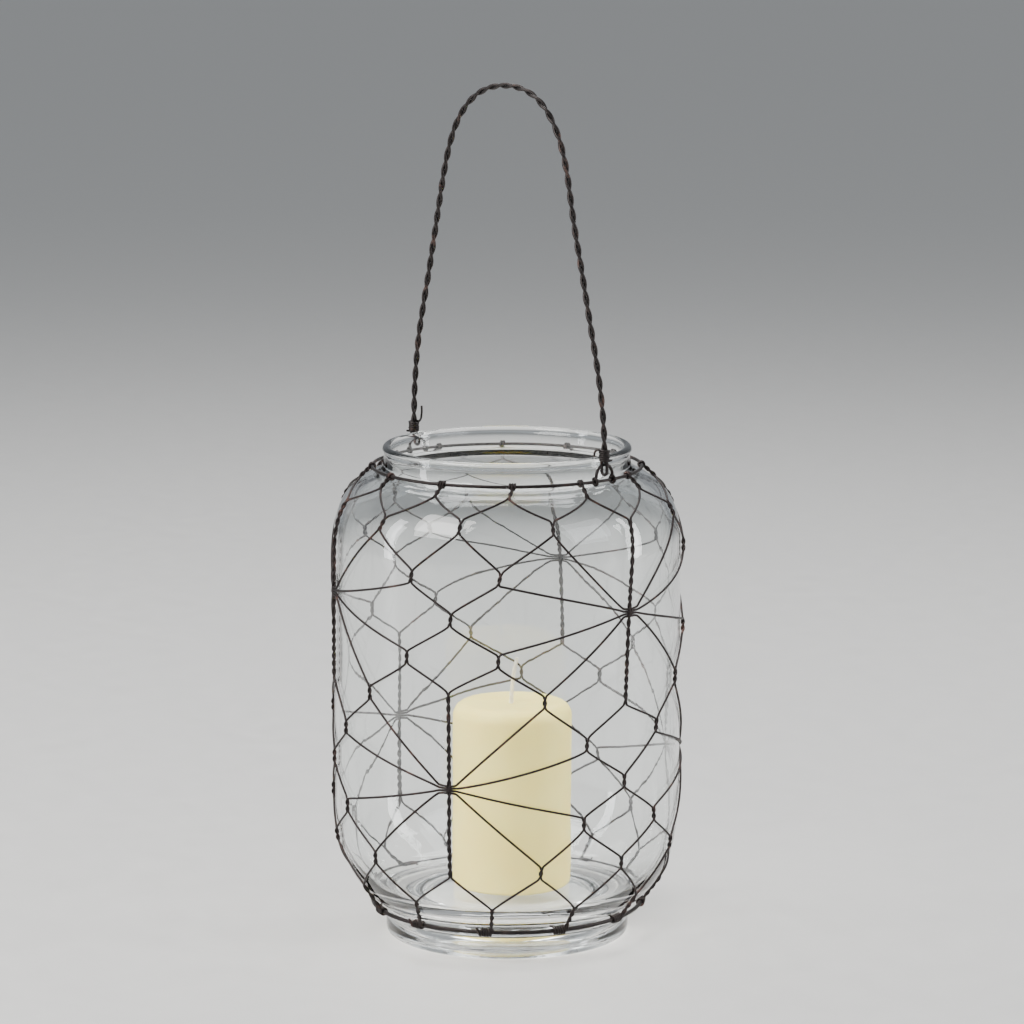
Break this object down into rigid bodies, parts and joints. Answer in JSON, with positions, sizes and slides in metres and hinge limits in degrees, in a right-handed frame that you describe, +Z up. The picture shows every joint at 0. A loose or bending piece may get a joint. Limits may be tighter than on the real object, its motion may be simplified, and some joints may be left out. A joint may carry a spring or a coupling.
{
  "type": "jar lantern",
  "caption": "Glass jar candle lantern in a sleeve of wire netting, with a swinging twisted-wire bail handle and a lift-out pillar candle.",
  "frame": {"origin": "centre of the jar's foot, on the surface it stands on", "axes": "+Z up along the jar's axis; +X through the right handle eyelet, along the handle's hinge axis; +Y completes the right-handed frame"},
  "size_m": [0.1646, 0.1645, 0.3994],
  "materials": {
    "clear_glass": "clear blown glass, slightly wavy",
    "hoop_wire": "dark annealed steel wire, satin, faint rust",
    "netting_wire": "dark annealed steel wire, satin, faint rust",
    "handle_wire": "dark annealed steel wire, satin",
    "candle_wax": "cream paraffin wax, soft sheen",
    "wick_cotton": "braided cotton, unburned"
  },
  "bodies": {
    "lantern": {"glass_jar": "clear_glass", "neck_ring": "hoop_wire", "base_ring": "hoop_wire", "eyelet_right": "hoop_wire", "eyelet_left": "hoop_wire", "neck_wraps": "netting_wire", "base_knots": "netting_wire", "net_wire_01": "netting_wire", "net_wire_02": "netting_wire", "net_wire_03": "netting_wire", "net_wire_04": "netting_wire", "net_wire_05": "netting_wire", "net_wire_06": "netting_wire", "net_wire_07": "netting_wire", "net_wire_08": "netting_wire", "net_wire_09": "netting_wire", "net_wire_10": "netting_wire", "net_wire_11": "netting_wire", "net_wire_12": "netting_wire"},
    "handle": {"handle_strand_a": "handle_wire", "handle_strand_b": "handle_wire", "handle_end_right": "handle_wire", "handle_end_left": "handle_wire"},
    "candle": {"candle": "candle_wax", "wick": "wick_cotton"}
  },
  "joints": [
    {"name": "handle_hinge", "type": "hinge", "parent": "lantern", "child": "handle", "pos_m": [0, 0, 0.224], "axis": [1, 0, 0], "range_deg": [-75, 75]},
    {"name": "candle_lift", "type": "slide", "parent": "lantern", "child": "candle", "axis": [0, 0, 1], "range_m": [0, 0.25]}
  ]
}
